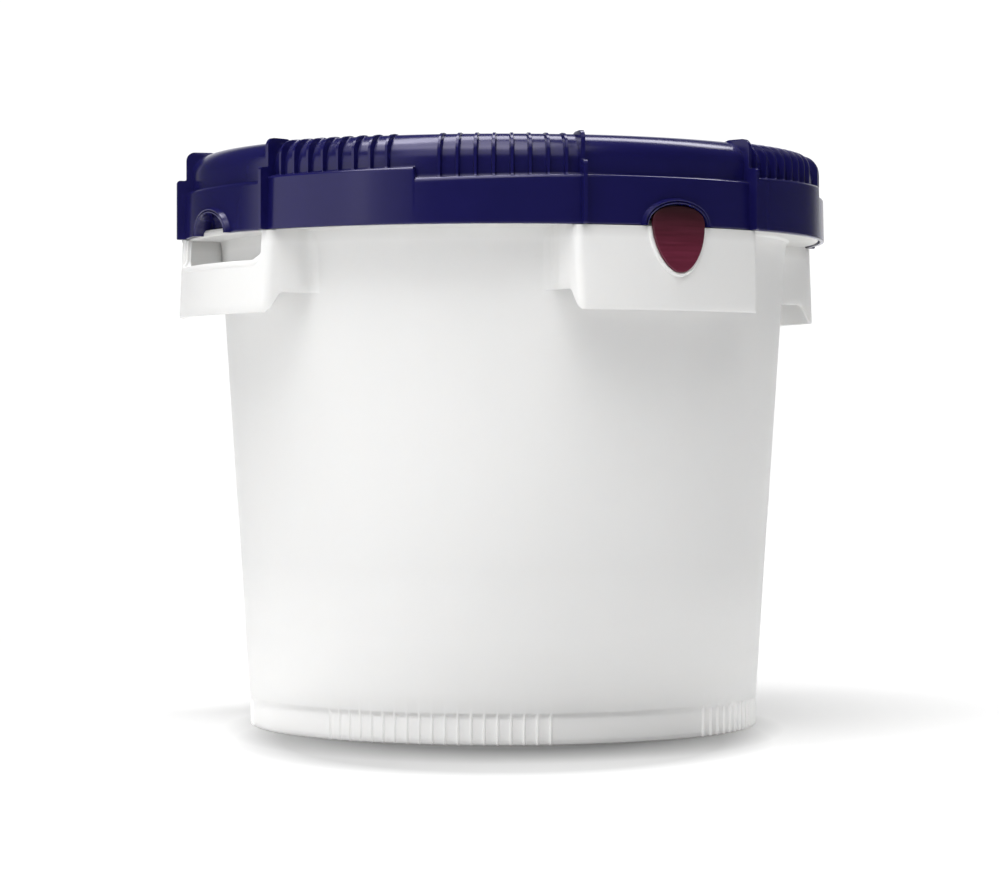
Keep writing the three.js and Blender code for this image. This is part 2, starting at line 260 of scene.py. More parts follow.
def column_angles(flanked, step):
    """Angles round the drum: an even spread, and close columns at each (centre, half, flank)'s flanks."""
    spread = list(np.arange(0.0, 360.0, step))
    close = []
    for centre, half, flank in flanked:
        for side in (-1, 1):
            close += [centre + side * (half + u * flank) for u in (-1.0, -0.5, 0.0, 0.5, 1.0)]
    close = np.array(close) % 360.0
    clear = [a for a in spread if np.min(np.abs(turn_gap(close, a))) > 0.12]
    return np.unique(np.round(np.concatenate([clear, close]), 4))


# ---------------------------------------------------------------- lid

def superellipse(radius, top, spring, exponent, n):
    """The shoulder from the crown's edge, over and down to where it turns upright."""
    points = []
    for a in np.linspace(90, 0, n):
        c, s = math.cos(math.radians(a)), math.sin(math.radians(a))
        points.append((
            CROWN_R + (radius - CROWN_R) * abs(c) ** (2 / exponent),
            spring + (top - spring) * abs(s) ** (2 / exponent),
        ))
    return points


def shoulder(radius, top, spring, exponent, foot):
    """Stations from the crown's edge down to the foot height, where the ledge begins."""
    over = superellipse(radius, top, spring, exponent, 13)
    down = [(radius, z) for z in np.linspace(spring, foot, 6)[1:]]
    return np.array(over + down)


def bulkhead_line(foot):
    """The same stations over a bulkhead plate with a rounded top corner."""
    top, edge, corner = CROWN_Z + 1.1, 195.0, 5.0
    over = [(CROWN_R, CROWN_Z + 0.2), (CROWN_R + 3, top), (185, top)]
    over += arc(edge - corner, top - corner, corner, 90, 0, 8)
    down = [(edge, z) for z in np.linspace(top - corner, foot, 8)[1:]]
    return np.array(over + down)


def ledge_line(inner, height, edge, deep):
    """The skirt's top: a small fillet below the shoulder, the flat, and the outer edge rounded deep down."""
    flat_start = min(inner + 0.9, edge - LEDGE_ROUND - 0.05)
    line = [(inner, height + 0.9), (inner + 0.25, height + 0.3), (flat_start, height)]
    for a in np.radians(np.linspace(90, 0, 8)):
        line.append((edge + LEDGE_ROUND * (math.cos(a) - 1), height + deep * (math.sin(a) - 1)))
    return np.array(line)


def lid_profiles(theta):
    """Every angle's closed profile of the lid, from the axis on top round to the axis underneath."""
    valley = shoulder(190.3, CROWN_Z, 328.0, 2.0, LEDGE_Z + 1.2)
    clip = shoulder(191.6, CROWN_Z, 330.5, 2.15, LEDGE_Z + 1.2)
    rib = shoulder(193.0, CROWN_Z + 0.5, 332.5, 2.5, LEDGE_Z + 1.2)
    plate = bulkhead_line(FIN_Z + 1.2)

    w_clip, w_plate, w_raised, slope = (np.zeros_like(theta) for _ in range(4))
    deep = np.full_like(theta, LEDGE_ROUND)
    w_rib = sum(plateau(theta, angle, *RIB_SHAPE) for angle in shoulder_rib_angles())
    for quarter in QUARTERS:
        w_clip += plateau(theta, quarter, CLIP_HALF, CLIP_FLANK)
        for side in (-1, 1):
            w_plate += plateau(theta, quarter + side * CLIP_HALF, *BULKHEAD_SHAPE)
        past_step = turn_gap(theta, quarter - 45 + RAISED_END)
        into_bulkhead = turn_gap(theta, quarter - 90 + CLIP_HALF)
        w_raised += smooth(-past_step / RAISED_STEP + 0.5) * (into_bulkhead > 0) * (past_step < 1)
        slope -= LEDGE_DROP * np.clip(1 - past_step / HALF_LEDGE_ANGLE, 0, 1) * (past_step > 0)
        fall = np.clip(-past_step / HALF_LEDGE_ANGLE, 0, 1)
        slope -= RAISED_DROP * fall * (past_step <= 0) * (into_bulkhead > 0)
        deep += LEDGE_DEEPER * np.clip(1 - past_step / DEEPER_ANGLE, 0, 1) * (past_step > 0)

    top = np.array(
        [(0, 332.7), (30, 332.7), (58, 332.7), (59, 333.3), (61, 333.3), (62, 332.7)]
        + [(90, 332.7), (118, 332.7), (119, 333.3), (121, 333.3), (122, 332.7), (140, 332.7), (158, 332.7)]
        + arc(161.7, 335.2, 2.5, 270, 355, 5)
        + [(165.2, 339.5)]
        + arc(167.9, 341.6, 2.4, 170, 95, 6)
        + [(171.0, CROWN_Z), (174.5, CROWN_Z)]
    )
    under = np.array(
        [(SKIRT_R - 2.2, SKIRT_LOW), (SKIRT_R - 2.5, SKIRT_LOW + 0.3), (SKIRT_R - 2.5, 318.3)]
        + [(SKIRT_R - 3.2, 318.9), (187.4, 318.9), (186.9, 319.4), (186.8, 330.5), (185.2, 336.5)]
        + [(182.0, 340.2), (177.0, 341.3), (169.9, 341.3), (169.3, 340.7), (168.3, 326.6), (167.7, 326.0)]
        + [(166.2, 326.0), (165.7, 326.6), (165.3, 329.4), (164.5, 330.0)]
        + [(120, 330.0), (60, 330.0), (0, 330.0)]
    )

    profiles = []
    for i in range(len(theta)):
        blend = valley * (1 - w_clip[i]) + clip * w_clip[i]
        blend = blend * (1 - w_rib[i]) + rib * w_rib[i]
        side = blend * (1 - w_plate[i]) + plate * w_plate[i]
        height = LEDGE_Z + (RAISED_Z - LEDGE_Z) * w_raised[i] + slope[i]
        height += (FIN_Z - height) * w_plate[i]
        upright = side[-6:, 0].min()
        if w_plate[i] < 1:
            side[:, 1] = np.maximum(side[:, 1], height + 1.0)
        edge = SKIRT_R - 0.5 + (FIN_R - SKIRT_R + 0.5) * w_plate[i]
        low_edge = SKIRT_R + (FIN_R - SKIRT_R) * w_plate[i]
        ledge = ledge_line(max(upright, side[-1, 0]), height, edge, deep[i])
        skirt_top = ledge[-1, 1]
        share = np.array([0.03, 0.25, 0.5, 0.75, 0.97, 1.0])
        skirt = np.stack([
            edge + (low_edge - edge) * share,
            skirt_top + (SKIRT_LOW + 0.6 - skirt_top) * share,
        ], axis=1)
        bottom = np.array([(low_edge - 0.18, SKIRT_LOW + 0.18), (low_edge - 0.6, SKIRT_LOW)])
        profiles.append(np.concatenate([top, side, ledge, skirt, bottom, under]))
    return np.array(profiles)


def half_ellipse(half, height, base, drop, n=40):
    """An arch outline: up the left side, over, and down the right, as (across, z)."""
    line = [(-half, base - drop)]
    for a in np.linspace(180, 0, n):
        line.append((half * math.cos(math.radians(a)), base + height * math.sin(math.radians(a))))
    line.append((half, base - drop))
    return line


def notch_cutter():
    """A solid with a notch's outline, curved like the skirt, open downwards."""
    outline = np.array(half_ellipse(NOTCH_HALF + 1.4, NOTCH_HEIGHT + 1.4, SKIRT_LOW, 6))
    rings = [wrapped(outline[:, 0], r, outline[:, 1]) for r in (POCKET_BACK + 2.6, 206)]
    return swept_solid("cutter", rings)


def notch_rim():
    """The raised arch round a notch: a rounded band swept along the arch, as deep as the pocket."""
    path = half_ellipse(NOTCH_HALF, NOTCH_HEIGHT, SKIRT_LOW, 0.0, 56)[1:-1]
    face, back, w = NOTCH_FACE, POCKET_BACK - 1.0, NOTCH_RIM
    section = [(0, back), (0, face - 1.4), (0.1, face - 0.75), (0.35, face - 0.3), (0.7, face - 0.12)]
    section += [(1.0, face - 0.45), (1.3, face - 1.2), (1.6, face - 0.55), (1.85, face - 0.1), (2.25, face)]
    section += [(2.65, face - 0.15), (w, face - 0.6), (w + 0.3, face - 1.5), (w + 0.8, face - 3.2)]
    section += [(w + 1.3, back + 3), (w + 1.3, back)]
    rows = []
    for x, z in path:
        nx, nz = x / NOTCH_HALF**2, (z - SKIRT_LOW) / NOTCH_HEIGHT**2
        length = math.hypot(nx, nz)
        nx, nz = nx / length, nz / length
        rows.append([wrapped(x + nx * out, r, z + nz * out) for out, r in section])
    return swept_solid("rim", np.array(rows))


def pocket_back():
    """The wall behind a notch, with the two slots for a seal's legs."""
    outline = np.array(half_ellipse(NOTCH_HALF + 1.4, NOTCH_HEIGHT - 2.2, FLANGE_HIGH + 0.3, 0, 30)[1:-1])
    rings = [wrapped(outline[:, 0], r, outline[:, 1]) for r in (POCKET_BACK - 2, POCKET_BACK)]
    wall = swept_solid("pocket", rings)
    for side in (-1, 1):
        x0, x1 = side * SLOT_OFFSET - SLOT_WIDTH / 2, side * SLOT_OFFSET + SLOT_WIDTH / 2
        slot = np.array([(x0, 290.0), (x0, SLOT_TOP - 0.6), (x0 + 0.6, SLOT_TOP), (x1 - 0.6, SLOT_TOP)]
                        + [(x1, SLOT_TOP - 0.6), (x1, 290.0)])
        rings = [wrapped(slot[:, 0], r, slot[:, 1]) for r in (POCKET_BACK - 6, POCKET_BACK + 3)]
        cut(wall, swept_solid("slot", rings))
    return wall


def clip_block():
    """The snap clip inside the skirt, which catches under the neck's bead."""
    hook = [(187.4, 302.5), (187.4, 330), (184.3, 330), (184.3, 309.8), (182.6, 308.4), (180.2, 307.7)]
    hook += [(179.7, 307.2), (179.7, 306.0), (180.2, 305.2), (182.4, 302.5), (183.0, 302.0), (186.9, 302.0)]
    r, z = np.array(hook).T
    return swept_solid("clip", [wrapped(x, r, z) for x in np.linspace(-17, 17, 15)])


def build_lid():
    flanked = [(angle, *RIB_SHAPE) for angle in shoulder_rib_angles()]
    for quarter in QUARTERS:
        for side in (-1, 1):
            flanked.append((quarter + side * CLIP_HALF, *BULKHEAD_SHAPE))
        flanked.append((quarter, CLIP_HALF, CLIP_FLANK))
        flanked.append((quarter - 45 + RAISED_END, 0.0, RAISED_STEP))
    theta = column_angles(flanked, 1.0)
    lid = ring_solid("lid", theta, lid_profiles(theta), on_axis=True)
    cut(lid, around(notch_cutter(), "notches", QUARTERS))
    for part in (notch_rim(), pocket_back(), clip_block()):
        fuse(lid, around(part, "notch_parts", QUARTERS))
    shade(lid)
    return lid


def build_gasket():
    theta = np.arange(0, 360, 2.0)
    section = [(171.0, 337.6), (178.0, 337.6)]
    section += arc(177.6, 339.2, 1.3, -70, 80, 6) + [(171.4, 340.9)] + arc(171.4, 339.2, 1.3, 100, 250, 6)
    profile = np.array(section)
    gasket = ring_solid("lid_foam_gasket", theta, np.repeat(profile[None], len(theta), axis=0))
    shade(gasket, 50)
    return gasket


# ---------------------------------------------------------------- drum

def drum_profiles(theta):
    """Every angle's closed profile of the drum: from the axis underneath, up outside and down inside."""
    w_rib = sum(plateau(theta, angle, *FOOT_RIB_SHAPE) for angle in foot_rib_angles())
    inner = FOOT_R - WALL_T
    base = np.array([(0, 9.0), (60, 9.0), (120, 9.0), (inner - 3, 9.0)] + arc(inner - 3, 6.5, 2.5, 90, 15, 4)
                    + [(inner, 5.0), (inner, 0.6), (inner + 0.5, 0.0), (inner + 1.4, 0.0)])
    foot_heights = np.array([0.0, 0.25, 0.8, 4.0, 8.0, 12.0, 14.2, FOOT_TOP, 16.6, 17.6])
    z = [WALL_BOTTOM] + list(np.linspace(30, 286, 17))
    wall = [(wall_r(h), h) for h in z]
    wall += [(wall_r(290) + 0.2, 290.0), (wall_r(292) + 0.8, 292.2), (wall_r(293) + 2.2, FLANGE_LOW)]
    wall += [(FLANGE_R - 0.5, FLANGE_LOW)] + arc(FLANGE_R - 0.8, FLANGE_LOW + 0.8, 0.8, -60, 0, 3)
    wall += arc(FLANGE_R - 0.8, FLANGE_HIGH - 0.8, 0.8, 0, 90, 4)
    wall += [(wall_r(296) + 2.0, FLANGE_HIGH), (wall_r(297) + 0.6, 296.8), (wall_r(298.5), 298.5)]
    wall += [(wall_r(307.5), 307.5), (BEAD_R - 1.0, 310.6)] + arc(BEAD_R - 0.9, 312.0, 0.9, -60, 60, 5)
    wall += [(wall_r(315.5), 315.6), (wall_r(330), 330.0)]
    wall += arc(wall_r(NECK_TOP) - 1.25, NECK_TOP - 1.2, 1.2, 0, 180, 9)
    inside = [(wall_r(h) - WALL_T, h) for h in np.linspace(330, 26, 18)]
    inside += arc(wall_r(20) - WALL_T - 7.8, 19.9, 8.0, 0, -90, 8) + [(110, 11.8), (50, 11.8), (0, 11.8)]
    wall, inside = np.array(wall), np.array(inside)

    shape = np.interp(foot_heights, [0, 0.25, 0.8, FOOT_TOP, 16.6, 17.6], [-0.7, -0.3, 0, 0, 0.5, 1.35])
    ribbed = np.interp(foot_heights, [0, 0.25, 0.8, FOOT_TOP, 17.6], [0.5, 1.0, 1.3, 1.35, 1.5])
    profiles = []
    for w in w_rib:
        foot_r = FOOT_R + shape * (1 - w) + np.maximum(ribbed, shape) * w
        profiles.append(np.concatenate([base, np.stack([foot_r, foot_heights], axis=1), wall, inside]))
    return np.array(profiles)


def rounded_path(corners, radii, steps, between):
    """A polyline whose inner corners are replaced by arcs, with the same number of points for any size."""
    points = [np.array(corners[0])]
    for before, corner, after, radius in zip(corners, corners[1:], corners[2:], radii):
        before, corner, after = np.array(before), np.array(corner), np.array(after)
        u, v = before - corner, after - corner
        u, v = u / np.linalg.norm(u), v / np.linalg.norm(v)
        half = math.acos(float(np.clip(u @ v, -1, 1))) / 2
        reach = radius / math.tan(half)
        centre = corner + (u + v) / np.linalg.norm(u + v) * radius / math.sin(half)
        start, end = corner + u * reach - centre, corner + v * reach - centre
        angle = math.atan2(start[0] * end[1] - start[1] * end[0], float(start @ end))
        last = points[-1]
        points += [last + (centre + start - last) * k / between for k in range(1, between)]
        for k in range(steps + 1):
            a = angle * k / steps
            points.append(centre + np.array([
                start[0] * math.cos(a) - start[1] * math.sin(a),
                start[0] * math.sin(a) + start[1] * math.cos(a),
            ]))
    points.append(np.array(corners[-1]))
    return points


def bracket_path(z):
    """A bracket's outer line seen from above at height z, as (across, distance in front of the axis)."""
    share = (z - PLATE_LOW) / (PLATE_HIGH - PLATE_LOW)
    half = PLATE_LOW_HALF + share * (PLATE_HIGH_HALF - PLATE_LOW_HALF)
    plate, wall = plate_r(z), wall_r(z)
    tail, root = math.radians(WEB_TAIL_ANGLE), math.radians(WEB_ROOT_ANGLE)
    start = ((wall - 1.9) * math.sin(tail), (wall - 1.9) * math.cos(tail))
    foot = ((wall + 0.1) * math.sin(root), (wall + 0.1) * math.cos(root))
    corner = (half, math.sqrt(plate**2 - half**2))
    edge_angle = math.asin(half / plate)
    inward = edge_angle - 0.035
    along = (plate * math.sin(inward), plate * math.cos(inward))
    right = rounded_path([start, foot, corner, along], [WEB_FILLET, PLATE_CORNER], WEB_STEPS, WEB_ROWS)
    sweep = np.linspace(inward, -inward, 49)[1:-1]
    front = [np.array([plate * math.sin(a), plate * math.cos(a)]) for a in sweep]
    left = [np.array([-p[0], p[1]]) for p in reversed(right)]
    return np.array(right + front + left)


def bracket_ribbon():
    """A bracket's plate and webs as one bent sheet, with its lower edge cut to shape and rounded."""
    low, high = bracket_path(PLATE_LOW), bracket_path(PLATE_HIGH)
    count = len(low)
    corner = 2 * WEB_ROWS + WEB_STEPS + WEB_STEPS // 2
    lengths = np.concatenate([[0], np.cumsum(np.linalg.norm(np.diff(low, axis=0), axis=1))])
    from_corner = np.maximum(lengths[corner] - lengths, lengths - lengths[count - 1 - corner])
    rise = np.minimum(from_corner / WEB_SLANT, 1.0)
    climb = (WEB_LOW - PLATE_LOW) * (0.35 * smooth(rise) + 0.65 * rise)
    bottom = np.where(from_corner > 0, PLATE_LOW + climb, PLATE_LOW)
    steps = np.diff((low + high) / 2, axis=0)
    steps /= np.linalg.norm(steps, axis=1)[:, None]
    tangent = np.concatenate([steps[:1], steps[1:] + steps[:-1], steps[-1:]])
    tangent /= np.linalg.norm(tangent, axis=1)[:, None]
    inward = np.stack([tangent[:, 1], -tangent[:, 0]], axis=1)
    from_tail = np.minimum(lengths, lengths[-1] - lengths)
    thick = 1.5 + 0.9 * smooth((from_tail - WEB_TAIL_LENGTH) / 8.0)
    t, r = 2.4, 0.8
    outer_shares, inner_shares = (1.0, 0.85, 0.7, 0.55, 0.4, 0.25, 0.1, 0.02), (0.1, 0.4, 0.7, 1.0)
    rim = [(0.0, r), (0.1, 0.45 * r), (0.4, 0.12 * r), (r, 0), (t - r, 0), (t - 0.4, 0.12 * r), (t, r)]
    top = np.where(np.linalg.norm(high, axis=1) < FLANGE_R - 1.0, PLATE_HIGH + 1.6, PLATE_HIGH)
    rows = []
    for i in range(count):
        upright = top[i] - bottom[i] - r
        row = [(0, bottom[i] + r + share * upright) for share in outer_shares]
        row += [(depth, bottom[i] + lift) for depth, lift in rim]
        row += [(t, bottom[i] + r + share * upright) for share in inner_shares]
        line = []
        for depth, z in row:
            share = (z - PLATE_LOW) / (PLATE_HIGH - PLATE_LOW)
            at = low[i] + (high[i] - low[i]) * share + inward[i] * depth * thick[i] / t
            line.append((at[0], -at[1], z))
        rows.append(line)
    return swept_solid("bracket", np.array(rows))


def bracket_roof():
    """The stretch of flange over a bracket, which its plate and webs hang from."""
    section = [(wall_r(292) - 1, 291.9), (192.6, 291.9), (193.1, 292.4), (193.1, 294.5)]
    section += [(192.6, 295), (wall_r(295) - 1, 295)]
    r, z = np.array(section).T
    return swept_solid("roof", [to_world(a, r, z) for a in np.linspace(-ROOF_ANGLE, ROOF_ANGLE, 37)])


def window_outline(grow, top):
    """The hand hole's outline, from the top left, down, along and up, as (across, z)."""
    half, low, corner = WINDOW_HALF + grow, WINDOW_LOW - grow, WINDOW_CORNER + grow
    line = [(-half, z) for z in np.linspace(top, low + corner, 6)[:-1]]
    line += [(-half + corner + corner * math.cos(a), low + corner + corner * math.sin(a))
             for a in np.radians(np.linspace(180, 270, 12))]
    line += [(x, low) for x in np.linspace(-half + corner, half - corner, 40)[1:-1]]
    line += [(half - corner + corner * math.cos(a), low + corner + corner * math.sin(a))
             for a in np.radians(np.linspace(270, 360, 12))]
    line += [(half, z) for z in np.linspace(low + corner, top, 6)[1:]]
    return line


def hand_hole_cutter():
    across, z = np.array(window_outline(-0.6, PLATE_HIGH + 3)).T
    angle = np.degrees(np.arcsin(across / PLATE_HIGH_R))
    return swept_solid("hole", [to_world(angle, r, z) for r in (183.0, 206.0)])


def hand_hole_lip():
    """The rolled lip along the bottom of the hand hole, running out up its sides."""
    path = window_outline(0, PLATE_HIGH - 0.4)
    rows = []
    for i, (x, z) in enumerate(path):
        before, after = path[max(i - 1, 0)], path[min(i + 1, len(path) - 1)]
        tx, tz = after[0] - before[0], after[1] - before[1]
        length = math.hypot(tx, tz)
        nx, nz = tz / length, -tx / length
        level = smooth((WINDOW_LOW + 9.0 - z) / 8.0)
        proud = 0.35 + 2.3 * level
        outer, inner = plate_r(z) + proud, plate_r(z) - 2.7
        wide = LIP_WIDTH + 0.9 * level
        section = [(0, inner + 0.6), (0, outer - 1.1), (0.25, outer - 0.45), (0.8, outer - 0.08)]
        section += [(1.5, outer), (wide - 0.7, outer - 0.05), (wide - 0.25, outer - 0.3)]
        section += [(wide, outer - 0.8), (wide - 0.6, outer - 0.35 - proud)]
        section += [(wide, inner + 0.6), (wide - 0.5, inner), (0.5, inner)]
        out, r = np.array(section).T
        rows.append(to_world(np.degrees(np.arcsin((x - nx * out) / PLATE_HIGH_R)), r, z - nz * out))
    return swept_solid("lip", np.array(rows))


def seal_face(z):
    """How far in front of the axis a seal's face is: it leans outwards towards its tip."""
    return SEAL_FACE + (SEAL_MIDDLE - z) * SEAL_LEAN


def seal_outline(grow, n=96):
    """The seal's outline as (across, z): a low, square-shouldered arch over a long, slightly pointed one."""
    line = []
    for a in np.linspace(0, 360, n, endpoint=False):
        c, s = math.cos(math.radians(a)), math.sin(math.radians(a))
        power = SEAL_POWERS[0] if s >= 0 else SEAL_POWERS[1]
        height = SEAL_HIGH - SEAL_MIDDLE if s >= 0 else SEAL_MIDDLE - SEAL_LOW
        x = math.copysign(abs(c) ** (2 / power), c)
        z = math.copysign(abs(s) ** (2 / power), s)
        line.append(((SEAL_HALF + grow) * x, SEAL_MIDDLE + (height + grow) * z))
    return line


def seal_reach(x, z, grow):
    """Below 1 inside the seal's outline grown by some width, and above 1 outside it."""
    across, height = np.abs(x) / (SEAL_HALF + grow), np.abs(z - SEAL_MIDDLE)
    low = across ** SEAL_POWERS[1] + (height / (SEAL_MIDDLE - SEAL_LOW + grow)) ** SEAL_POWERS[1]
    high = across ** SEAL_POWERS[0] + (height / (SEAL_HIGH - SEAL_MIDDLE + grow)) ** SEAL_POWERS[0]
    return np.where(z < SEAL_MIDDLE, low, high)


def seal_boss():
    """The raised seat round and below a seal, which fades into the plate towards its lower edge."""
    xs = np.linspace(-26, 26, 131)
    zs = np.linspace(247, PLATE_HIGH - 0.1, 115)
    x, z = np.meshgrid(xs, zs, indexing="ij")
    collar = smooth((1.0 - seal_reach(x, z, 3.6)) / 0.13)
    pillar_half = 12.6 - 2.4 * smooth((272 - z) / 22.0)
    pillar = 0.6 * smooth((pillar_half + 4.0 - np.abs(x)) / 8.0) * smooth((z - 250.0) / 16.0) * (z < 285)
    seat = np.sqrt(np.maximum((seal_face(z) - COLLAR) ** 2 - x**2, 0))
    plate = np.sqrt(plate_r(z) ** 2 - x**2)
    lift = np.maximum(collar, pillar)
    front = plate - 0.35 + (seat - plate + 0.35) * lift
    recess = smooth((1.0 - seal_reach(x, z, 0.35)) / 0.03)
    front = front * (1 - recess) + np.minimum(front, seal_face(z) - SEAL_T - 0.25) * recess
    back = plate - 2.0
    rows, cols = x.shape
    points = np.concatenate([
        np.stack([x, -front, z], axis=-1).reshape(-1, 3),
        np.stack([x, -back, z], axis=-1).reshape(-1, 3),
    ])
    faces = grid_faces(rows, cols, False, False)
    n = rows * cols
    faces += [tuple(n + k for k in reversed(f)) for f in faces]
    edge = list(range(cols)) + [i * cols + cols - 1 for i in range(1, rows)]
    edge += [(rows - 1) * cols + j for j in range(cols - 2, -1, -1)]
    edge += [i * cols for i in range(rows - 2, 0, -1)]
    for a, b in zip(edge, edge[1:] + edge[:1]):
        faces.append((a, b, n + b, n + a))
    return mesh_object("boss", points, faces)


def box_solid(x, y, z):
    """A square bar between (low, high) pairs, for the peg, the legs and the peg's hole."""
    corners = [(x[0], y[0]), (x[1], y[0]), (x[1], y[1]), (x[0], y[1])]
    return swept_solid("box", [[(*corner, level) for corner in corners] for level in z])


def peg_hole():
    """The square hole in a seal's seat which takes its peg."""
    across, upright = (-PEG_HOLE_HALF, PEG_HOLE_HALF), (PEG_Z - PEG_HOLE_HALF, PEG_Z + PEG_HOLE_HALF)
    return box_solid(across, (-203, -185), upright)


def build_drum():
    theta = column_angles([(angle, *FOOT_RIB_SHAPE) for angle in foot_rib_angles()], 1.5)
    drum = ring_solid("drum_body", theta, drum_profiles(theta), on_axis=True)
    grip = cut(bracket_ribbon(), hand_hole_cutter())
    seal_bracket = fuse(cut(bracket_ribbon(), peg_hole()), cut(seal_boss(), peg_hole()))
    fuse(drum, around(grip, "grips", GRIP_SIDES), around(seal_bracket, "seal_brackets", SEAL_SIDES))
    fuse(drum, around(bracket_roof(), "roofs", QUARTERS), around(hand_hole_lip(), "lips", GRIP_SIDES))
    shade(drum)
    return drum


# ---------------------------------------------------------------- seals

def build_seal(name, angle):
    """A seal: a shield plate with a rounded edge, two legs for the lid's slots and a peg for the bracket."""
    layers = [(-0.4, SEAL_T), (0.0, SEAL_T - 0.3), (0.0, 0.42), (-0.1, 0.16), (-0.36, 0.02), (-0.8, 0.0)]
    layers += [(-2.4, 0.02), (-5.0, 0.04), (-9.0, 0.02), (-12.5, 0.0)]
    sections = []
    for grow, back in layers:
        line = np.array(seal_outline(grow))
        sections.append(np.stack([line[:, 0], back - seal_face(line[:, 1]), line[:, 1]], axis=1))
    seal = swept_solid("seal", np.array(sections))
    for side in (-1, 1):
        x = side * SLOT_OFFSET
        near = seal_face(SLOT_TOP) - SEAL_T + 0.5
        fuse(seal, box_solid((x - 1.0, x + 1.0), (-near, -187.6), (298.4, SLOT_TOP - 0.3)))
    peg_height = (PEG_Z - PEG_HALF, PEG_Z + PEG_HALF)
    fuse(seal, box_solid((-PEG_HALF, PEG_HALF), (0.5 - seal_face(PEG_Z), -190.0), peg_height))
    piece = around(seal, name, [angle])
    shade(piece, 38)
    return piece


# ---------------------------------------------------------------- materials

class Nodes:
    """A material's node tree with short calls for what the materials here need."""

    def __init__(self, name):
        self.material = bpy.data.materials.new(name)
        self.material.use_nodes = True
        self.tree = self.material.node_tree
        self.shader = self.tree.nodes["Principled BSDF"]
        self.place = self.tree.nodes.new("ShaderNodeTexCoord").outputs["Object"]

    def link(self, source, target):
        self.tree.links.new(source, target)

    def noise(self, scale, detail=3.0, stretch=None):
        """Noise over the object in cycles per metre, and stretched where asked."""
        node = self.tree.nodes.new("ShaderNodeTexNoise")
        node.inputs["Scale"].default_value = scale
        node.inputs["Detail"].default_value = detail
        place = self.place
        if stretch:
            mapping = self.tree.nodes.new("ShaderNodeMapping")
            mapping.inputs["Scale"].default_value = stretch
            self.link(place, mapping.inputs["Vector"])
            place = mapping.outputs["Vector"]
        self.link(place, node.inputs["Vector"])
        return node.outputs["Fac"]

    def spread(self, value, low, high, from_low=0.3, from_high=0.7):
        """A value stretched to a new range."""
        node = self.tree.nodes.new("ShaderNodeMapRange")
        self.link(value, node.inputs["Value"])
        node.inputs["From Min"].default_value = from_low
        node.inputs["From Max"].default_value = from_high
        node.inputs["To Min"].default_value = low
        node.inputs["To Max"].default_value = high
        return node.outputs["Result"]

    def mix(self, factor, first, second):
        node = self.tree.nodes.new("ShaderNodeMix")
        node.data_type = "RGBA"
        self.link(factor, node.inputs[0])
        node.inputs[6].default_value = (*first, 1)
        node.inputs[7].default_value = (*second, 1)
        return node.outputs[2]

    def product(self, first, second):
        node = self.tree.nodes.new("ShaderNodeMix")
        node.data_type = "RGBA"
        node.blend_type = "MULTIPLY"
        node.inputs[0].default_value = 1.0
        self.link(first, node.inputs[6])
        self.link(second, node.inputs[7])
        return node.outputs[2]

    def height(self):
        node = self.tree.nodes.new("ShaderNodeSeparateXYZ")
        self.link(self.place, node.inputs[0])
        return node.outputs["Z"]

    def distance(self, centre, turn=0.0, longer=1.0):
        """Distance from a centre on the floor, in ovals that are longer one way than the other."""
        mapping = self.tree.nodes.new("ShaderNodeMapping")
        mapping.vector_type = "TEXTURE"
        mapping.inputs["Location"].default_value = centre
        mapping.inputs["Rotation"].default_value = (0, 0, math.radians(turn))
        mapping.inputs["Scale"].default_value = (1, longer, 1)
        self.link(self.place, mapping.inputs["Vector"])
        node = self.tree.nodes.new("ShaderNodeVectorMath")
        node.operation = "LENGTH"
        self.link(mapping.outputs["Vector"], node.inputs[0])
        return node.outputs["Value"]

    def bump(self, height, distance, strength=1.0, after=None):
        node = self.tree.nodes.new("ShaderNodeBump")
        node.inputs["Strength"].default_value = strength
        node.inputs["Distance"].default_value = distance
        self.link(height, node.inputs["Height"])
        if after is not None:
            self.link(after, node.inputs["Normal"])
        return node.outputs["Normal"]


def drum_plastic():
    """White polyethylene; painted light brightens the foot and lower wall, a painted glow lights the foot,
    and painted shade dulls the top under the lid.
    """
    m = Nodes("drum_plastic")
    s = m.shader.inputs
    tone = m.spread(m.noise(9, 4, (1, 1, 0.4)), 0, 1)
    white = m.mix(tone, (0.96, 0.958, 0.95), (0.99, 0.987, 0.978))
    # Painted light: the foot below 12 mm is painted lighter (0.98) than the wall above 20 mm (0.905).
    thick = m.mix(m.spread(m.height(), 0, 1, 0.012, 0.02), (0.98, 0.98, 0.98), (0.905, 0.905, 0.905))
    # Painted light: the wall below 6 cm is painted a little lighter than the wall above 22 cm.
    painted_low_wall_light = m.mix(m.spread(m.height(), 0, 1, 0.06, 0.22), (1, 1, 1), (0.972, 0.972, 0.972))
    # Painted shade: everything above 29 cm (the wall's top, flange and neck under the lid's skirt) is
    # painted darker.
    painted_lid_shade = m.mix(m.spread(m.height(), 0, 1, 0.2855, 0.2935), (1, 1, 1), (0.8, 0.8, 0.79))
    m.link(m.product(m.product(m.product(white, thick), painted_low_wall_light), painted_lid_shade), s["Base Color"])
    m.link(m.spread(m.noise(60, 5), 0.38, 0.5), s["Roughness"])
    s["Subsurface Weight"].default_value = 0.12
    s["Subsurface Scale"].default_value = 0.004
    s["Subsurface Radius"].default_value = (1.0, 0.9, 0.8)
    # Painted glow: the foot emits light, strongest below 18 mm and fading out by 10 cm up the wall.
    s["Emission Color"].default_value = (1.0, 0.99, 0.975, 1.0)
    m.link(m.spread(m.height(), 0.13, 0, 0.018, 0.1), s["Emission Strength"])
    s["IOR"].default_value = 1.5
    grain = m.bump(m.noise(2600, 2), 0.00004, 0.35)
    m.link(m.bump(m.noise(14, 2, (1, 1, 0.3)), 0.0004, 0.25, grain), s["Normal"])
    return m.material


